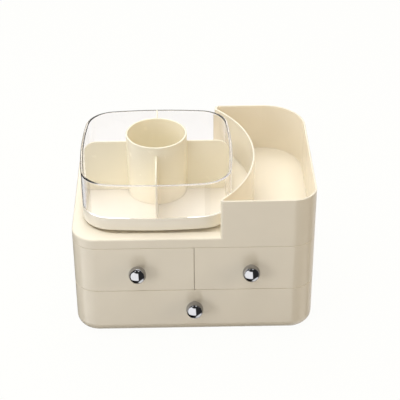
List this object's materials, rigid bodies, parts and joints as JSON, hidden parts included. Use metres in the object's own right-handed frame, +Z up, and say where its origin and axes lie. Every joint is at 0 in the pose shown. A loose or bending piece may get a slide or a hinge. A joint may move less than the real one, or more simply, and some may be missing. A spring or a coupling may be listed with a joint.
{
  "type": "rotating makeup organizer with drawers",
  "caption": "Desktop makeup organizer: case with drawers, open bin, and a turntable tray with a clear wall, a round cup and divider plates.",
  "frame": {"origin": "centre of the bounding box at its bottom, on the surface the feet rest on", "axes": "+Z up, front with the drawers facing -Y, +X to the right seen from the front, along the width"},
  "size_m": [0.28, 0.2452, 0.2153],
  "materials": {
    "cream_case": "satin gloss, cream",
    "cream_front": "satin gloss, cream",
    "cream_top": "satin gloss, cream",
    "cream_insert": "satin gloss, warm cream",
    "inner_plastic": "smooth matte, cream",
    "clear": "clear moulded plastic",
    "chrome": "polished",
    "steel": "zinc plated",
    "bearing_plastic": "natural, smooth",
    "rubber": "matte"
  },
  "bodies": {
    "case": {"case_shell": "cream_case", "mid_shelf": "inner_plastic", "centre_divider": "inner_plastic", "rubber_feet": "rubber", "top_module": "cream_top", "module_screws": "steel", "lower_race": "bearing_plastic"},
    "bearing": {"ball_cage": "bearing_plastic", "bearing_balls": "steel"},
    "turntable": {"turntable_base": "cream_top", "clear_wall": "clear", "upper_race": "bearing_plastic", "pivot_washer": "steel", "pivot_screw": "steel"},
    "insert": {"cup_insert": "cream_insert"},
    "lower_drawer": {"lower_front": "cream_front", "lower_box": "inner_plastic", "lower_knob": "chrome", "lower_knob_screw": "steel"},
    "upper_left_drawer": {"upper_left_front": "cream_front", "upper_left_box": "inner_plastic", "upper_left_knob": "chrome", "upper_left_knob_screw": "steel"},
    "upper_right_drawer": {"upper_right_front": "cream_front", "upper_right_box": "inner_plastic", "upper_right_knob": "chrome", "upper_right_knob_screw": "steel"}
  },
  "joints": [
    {"name": "turntable_turn", "type": "hinge", "parent": "case", "child": "turntable", "pos_m": [-0.0418, 0.00155, 0.1307], "axis": [0, 0, 1], "continuous": true},
    {"name": "bearing_turn", "type": "hinge", "parent": "case", "child": "bearing", "pos_m": [-0.0418, 0.00155, 0.1307], "axis": [0, 0, 1], "continuous": true},
    {"name": "insert_lift", "type": "slide", "parent": "turntable", "child": "insert", "axis": [0, 0, 1], "range_m": [0, 0.09]},
    {"name": "lower_drawer_slide", "type": "slide", "parent": "case", "child": "lower_drawer", "axis": [0, -1, 0], "range_m": [0, 0.15]},
    {"name": "upper_left_drawer_slide", "type": "slide", "parent": "case", "child": "upper_left_drawer", "axis": [0, -1, 0], "range_m": [0, 0.15]},
    {"name": "upper_right_drawer_slide", "type": "slide", "parent": "case", "child": "upper_right_drawer", "axis": [0, -1, 0], "range_m": [0, 0.15]}
  ],
  "couplings": [
    {"joint": "bearing_turn", "follows": "turntable_turn", "ratio": 0.5}
  ]
}
